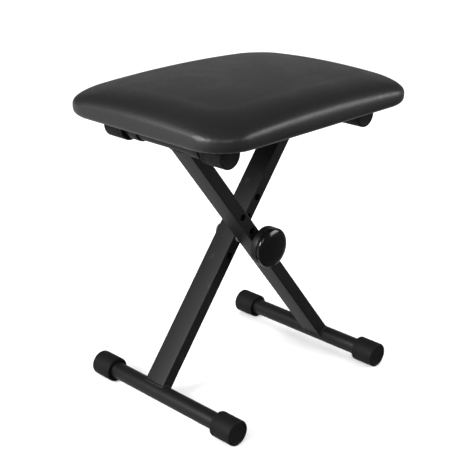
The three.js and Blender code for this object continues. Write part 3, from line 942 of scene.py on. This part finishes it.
def makeBar(node, body):
    low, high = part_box(node)
    radius, length = (high.x - low.x) / 2, high.y - low.y
    inner, edge = radius - barShape["wall"], barShape["edge"]
    corners = [(inner, length / 2, 0), (inner, 0, edge), (radius, 0, edge)]
    corners += [(radius, length, edge), (inner, length, edge), (inner, length / 2, 0)]
    middle = (low + high) / 2
    base = (middle.x, low.y, middle.z)
    bar = addTurned(node.replace("_bar", "_tube"), eased(corners), base, (0, 1, 0))
    smoothBelow(bar, 32)
    dress(bar, body, "powder_coat", powder, node)


def weldModel(depth, barRadius):
    # a bead round the leg's end where it sits on the bar, the bar's axis along Y
    shape, squareness = weldShape, weldShape["squareness"]
    halfX, halfY = legShape["width"] / 2, depth / 2
    letGo()
    bpy.ops.mesh.primitive_torus_add(major_segments=180, minor_segments=12,
                                     major_radius=1, minor_radius=shape["radius"])
    weld = settle(bpy.context.object, "weldModel")
    for vertex in weld.data.vertices:
        x, y, z = vertex.co
        angle, out = atan2(y, x), hypot(x, y) - 1
        reach = (abs(cos(angle)) / halfX) ** squareness + (abs(sin(angle)) / halfY) ** squareness
        reach = reach ** (-1 / squareness)
        swell = 1 + shape["rippleDepth"] * abs(sin(shape["ripples"] * angle / 2))
        swell += shape["wander"] * sin(3 * angle + 0.6)
        pathX, pathY = reach * cos(angle), reach * sin(angle)
        pathZ = sqrt(barRadius ** 2 - min(abs(pathX), barRadius * 0.98) ** 2)
        vertex.co = (pathX + out * swell * cos(angle), pathY + out * swell * sin(angle),
                     pathZ + z * swell)
    smoothBelow(weld, 60)
    return weld


def makeWelds():
    model = weldModel(legs["front"]["depth"], legs["front"]["barRadius"])
    for name, leg in legs.items():
        for place, turn in (("top", leg["lean"] + pi), ("foot", leg["lean"])):
            middle = middleOf(leg[place])
            weld = twinOf(model, f"{name}_{place}_weld", (middle.x, leg["y"], middle.z), (0, turn, 0))
            dress(weld, leg["body"], "powder_coat", powderOnWeld)
    bpy.data.objects.remove(model)


for name, leg in legs.items():
    makeLeg(name, leg)
    makeBar(leg["top"], leg["body"])
    makeBar(leg["foot"], leg["body"])
makeWelds()
print("legs, bars and welds made")


capShape = {
    "radius": 0.019,
    "bore": 0.013,
    "endWall": 0.0035,
    "endRound": 0.0024,
    "faceInset": 0.0010,
    "faceMargin": 0.0012,
    "mouthEase": 0.0014,
    "grooves": 3,  # shallow rings behind the mouth
    "grooveStart": 0.0034,
    "groovePitch": 0.0023,
    "grooveWidth": 0.0009,
    "grooveDepth": 0.00035,
}


def capModel():
    shape = capShape
    low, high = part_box("right_foot_cap_rear")
    length, radius, bore = high.y - low.y, shape["radius"], shape["bore"]
    corners = [(0, length - shape["endWall"], 0), (bore, length - shape["endWall"], 0.0006)]
    corners += [(bore, 0.0012, 0), (bore + 0.0008, 0.0012, 0.0002), (bore + 0.0008, 0, 0.0004)]
    corners += [(radius, 0, shape["mouthEase"])]
    for index in range(shape["grooves"]):
        start = shape["grooveStart"] + index * shape["groovePitch"]
        middle = start + shape["grooveWidth"] / 2
        corners += [(radius, start, 0.0002), (radius - shape["grooveDepth"], middle, 0.0002)]
        corners += [(radius, start + shape["grooveWidth"], 0.0002)]
    outline = eased(corners + [(radius, length / 2, 0)])
    for step in range(9):
        angle = pi / 2 * step / 8
        outline.append((radius - shape["endRound"] * (1 - cos(angle)),
                        length - shape["endRound"] * (1 - sin(angle))))
    face = radius - shape["endRound"] - shape["faceMargin"]
    outline += eased([(face + 0.001, length, 0), (face, length, 0.0003),
                      (face - shape["faceInset"], length - shape["faceInset"], 0.0004),
                      (0, length - shape["faceInset"], 0)], 3)[1:]
    cap = addTurned("capModel", outline, (0, 0, 0), (0, 1, 0))
    smoothBelow(cap, 35)
    return cap


def placeCaps():
    model = capModel()
    bars = {"right_foot": "front_frame", "left_top": "front_frame",
            "left_foot": "rear_frame", "right_top": "rear_frame"}
    for bar, body in bars.items():
        for end, turn in (("front", pi), ("rear", 0)):
            node = f"{bar}_cap_{end}"
            low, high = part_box(node)
            middle = (low + high) / 2
            mouth = high.y if end == "front" else low.y
            cap = twinOf(model, f"{bar}_end_{end}", (middle.x, mouth, middle.z), (0, 0, turn))
            dress(cap, body, "cap_rubber", rubber, node)
    bpy.data.objects.remove(model)


placeCaps()
print("end caps made")


boltShape = {"radius": 0.005, "tipEase": 0.0008, "headRadius": 0.0105, "headHeight": 0.0055,
             "rimEase": 0.0003, "rim": 0.0005, "neckLength": 0.006, "neckEase": 0.0005}
washerShape = {"bore": 0.0053, "ease": 0.0004, "grooveDepth": 0.0005}
knobShape = {
    "bore": 0.0083,
    "bossRadius": 0.012,
    "bossHeight": 0.0025,
    "radius": 0.030,
    "skirtHeight": 0.0115,
    "grooveDepth": 0.0016,
    "hubRadius": 0.013,
    "domeRim": 0.0034,
    "wall": 0.0024,
}


def makeBolt():
    shape = boltShape
    low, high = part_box("pivot_bolt")
    length = high.y - low.y
    headBase = length - shape["headHeight"]
    outline = [(0, 0), (shape["radius"] - shape["tipEase"], 0), (shape["radius"], shape["tipEase"])]
    outline += [(shape["radius"], headBase), (shape["headRadius"] - shape["rimEase"], headBase)]
    for step in range(11):
        angle = pi / 2 * step / 10
        height = headBase + shape["rim"] + (shape["headHeight"] - shape["rim"]) * sin(angle)
        outline.append((shape["headRadius"] * cos(angle), height))
    bolt = addTurned("carriage_bolt", outline, (pivot.x, low.y, pivot.z), (0, 1, 0), 64)
    neckY = high.y - shape["headHeight"]
    size = shape["radius"]
    neck = addBlock("neck", (pivot.x - size, neckY - shape["neckLength"], pivot.z - size),
                    (pivot.x + size, neckY + 0.0002, pivot.z + size))
    editParts(neck, "EDGE", lambda edge: True)
    bpy.ops.mesh.bevel(offset=shape["neckEase"], segments=3, affect="EDGES")
    letGo()
    neck.location = -pivot
    settle(neck, "neck")
    neck.rotation_euler.y = legs["rear"]["lean"]
    neck.location = pivot
    settle(neck, "neck")
    joinInto(bolt, neck)
    smoothBelow(bolt, 35)
    dress(bolt, "rear_frame", "zinc_steel", zinc, "pivot_bolt")


def makeWasher(node, name, body, grooved=False):
    shape, bore = washerShape, washerShape["bore"]
    low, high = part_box(node)
    radius, thickness = (high.x - low.x) / 2, high.y - low.y
    ease = min(shape["ease"], thickness / 5)
    corners = [(bore, thickness / 2, 0), (bore, 0, ease), (radius, 0, ease)]
    if grooved:
        corners += [(radius, thickness * 0.38, 0.0001)]
        corners += [(radius - shape["grooveDepth"], thickness / 2, 0.0001)]
        corners += [(radius, thickness * 0.62, 0.0001)]
    corners += [(radius, thickness, ease), (bore, thickness, ease), (bore, thickness / 2, 0)]
    washer = addTurned(name, eased(corners, 3), (pivot.x, low.y, pivot.z), (0, 1, 0), 64)
    smoothBelow(washer, 32)
    dress(washer, body, "zinc_steel", zinc, node)


def makeKnob():
    shape = knobShape
    radius, bore = shape["radius"], shape["bore"]
    backLow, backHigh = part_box("knob_body")
    capLow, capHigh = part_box("knob_cap")
    back = backHigh.y
    hubEnd = back - backLow.y
    domeBase, domeTop = back - capHigh.y, back - capLow.y
    skirtEnd = shape["bossHeight"] + shape["skirtHeight"]
    inner = radius - shape["grooveDepth"]
    corners = [(bore, 0.005, 0), (bore, 0, 0.0004), (shape["bossRadius"], 0, 0.0005)]
    corners += [(shape["bossRadius"], shape["bossHeight"], 0.0005)]
    corners += [(radius, shape["bossHeight"], 0.0022), (radius, skirtEnd, 0.0009)]
    corners += [(inner, skirtEnd, 0.0003), (inner, domeBase - 0.0003, 0.0001)]
    corners += [(shape["hubRadius"], domeBase - 0.0003, 0.0002)]
    corners += [(shape["hubRadius"], hubEnd, 0.0005), (bore, hubEnd, 0.0004), (bore, 0.005, 0)]
    place = (pivot.x, back, pivot.z)
    skirt = addTurned("knob_skirt", eased(corners), place, (0, -1, 0), 128)
    smoothBelow(skirt, 35)
    dress(skirt, "knob", "knob_plastic", skirtPlastic, "knob_body")

    shoulder = domeBase + shape["domeRim"]
    rise = domeTop - shoulder
    wall, outline = shape["wall"], []
    for step in range(9):
        angle = pi / 2 * (1 - step / 8)
        outline.append(((radius - wall) * cos(angle), shoulder + (rise - wall) * sin(angle)))
    outline += eased([(radius - wall, shoulder, 0), (radius - wall, domeBase, 0.0003),
                      (radius, domeBase, 0.0009), (radius, shoulder, 0)])[1:-1]
    for step in range(17):
        angle = pi / 2 * step / 16
        outline.append((radius * cos(angle), shoulder + rise * sin(angle)))
    dome = addTurned("knob_dome", outline, place, (0, -1, 0), 128)
    smoothBelow(dome, 40)
    dress(dome, "knob", "knob_plastic", domePlastic, "knob_cap")


makeBolt()
makeWasher("front_friction_washer", "front_spring_washer", "front_frame", grooved=True)
makeWasher("rear_friction_washer", "rear_spring_washer", "rear_frame", grooved=True)
makeWasher("knob_washer", "knob_plain_washer", "sliding_washer")
makeKnob()
print("pivot and knob made")


# pieces inside that keep their own shape and get a finish
keptFinishes = {
    "seat_board": plywood,
    "front_crush_sleeve": zinc,
    "rear_crush_sleeve": zinc,
    "knob_insert": brass,
}
for end in ("front", "rear"):
    for place in ("outer", "inner"):
        keptFinishes[f"tee_nut_{end}_{place}"] = zinc
for node, finish in keptFinishes.items():
    frame["nodes"][node].data.materials.clear()
    frame["nodes"][node].data.materials.append(finish)
    print("kept", node)


studio = {
    "floorSize": 60,
    "floorGap": 0.0002,
    "floorGrey": 0.92,
    "sky": 1.12,
    "skyInGloss": 0.08,
    "floorInGloss": 0.08,
    "rearFloorInGloss": 0.70,
    "lens": 82.04,
    "distance": 1.5646,
    "azimuth": -45.62,
    "elevation": 21.37,
    "target": (-0.01206, 0.01232, 0.2365),
}


softboxes = {
    "leftBox": {"place": (-2.2, 0.45, 1.35), "aim": (0, 0, 0.4), "width": 1.3, "height": 0.8, "power": 84},
    "rightBox": {"place": (1.75, -1.75, 1.2), "aim": (0, 0, 0.4), "width": 1.5, "height": 1.0, "power": 34},
    "frontBox": {"place": (-1.05, -1.8, 1.55), "aim": (0, 0, 0.3), "width": 0.3, "height": 0.8, "power": 9},
    "backBox": {"place": (2.1, 2.1, 1.35), "aim": (0, 0, 0.4), "width": 2.6, "height": 1.3, "power": 4},
}


def makeFloor():
    letGo()
    floorPlace = (0, 0, cadBox[0].z - studio["floorGap"])
    bpy.ops.mesh.primitive_plane_add(size=studio["floorSize"], location=floorPlace)
    floor = settle(bpy.context.object, "studio_floor")
    finish = Finish("studioFloorFinish")
    clouds = finish.noise(3, 2)
    finish.bump(finish.noise(300, 2), 0.0001, 0.1)
    pale = studio["floorGrey"]
    colour = finish.tint(clouds, grey(pale), grey(pale + 0.01))
    floor.data.materials.append(finish.done(colour=colour, roughness=0.8 + clouds * 0.05, gloss=0.1))
    floor.visible_glossy = False  # gloss sees the sky's paler floor instead


def makeSky():
    # an even white sky; gloss sees a dark studio with a paler floor behind the bench
    world = bpy.data.worlds.new("studioSky")
    world.use_nodes = True
    scene.world = world
    tree = world.node_tree
    split = tree.nodes.new("ShaderNodeSeparateXYZ")
    tree.links.new(tree.nodes.new("ShaderNodeTexCoord").outputs["Generated"], split.inputs[0])
    behind, up = Wire(tree, split.outputs["Y"]), Wire(tree, split.outputs["Z"])
    below = studio["floorInGloss"] + behind.between(-0.3, 0.6) * studio["rearFloorInGloss"]
    below = below * (1 - (0 - up).between(0.78, 0.97) * 0.6)
    seen = below + up.between(-0.03, 0.03) * (studio["skyInGloss"] - below)
    gloss = Wire(tree, tree.nodes.new("ShaderNodeLightPath").outputs["Is Glossy Ray"])
    background = tree.nodes["Background"]
    background.inputs["Color"].default_value = (1, 1, 1, 1)
    plug(tree, background.inputs["Strength"], studio["sky"] + gloss * (seen - studio["sky"]))


def addSoftbox(name, place, aim, width, height, power):
    light = bpy.data.lights.new(name, "AREA")
    light.shape = "RECTANGLE"
    light.size = width
    light.size_y = height
    light.energy = power
    lamp = bpy.data.objects.new(name, light)
    scene.collection.objects.link(lamp)
    lamp.location = place
    lamp.rotation_euler = (Vector(aim) - Vector(place)).to_track_quat("-Z", "Y").to_euler()
    lamp.visible_camera = False


def makeCamera():
    turn, rise = radians(studio["azimuth"]), radians(studio["elevation"])
    back = Vector((sin(turn) * cos(rise), -cos(turn) * cos(rise), sin(rise)))
    data = bpy.data.cameras.new("benchCamera")
    data.lens = studio["lens"]
    data.sensor_width = 36
    camera = bpy.data.objects.new("benchCamera", data)
    scene.collection.objects.link(camera)
    camera.location = Vector(studio["target"]) + studio["distance"] * back
    camera.rotation_euler = (-back).to_track_quat("-Z", "Y").to_euler()
    scene.camera = camera


makeFloor()
makeSky()
for name, box in softboxes.items():
    addSoftbox(name, **box)
makeCamera()
scene.view_settings.view_transform = "Standard"
print("studio made")
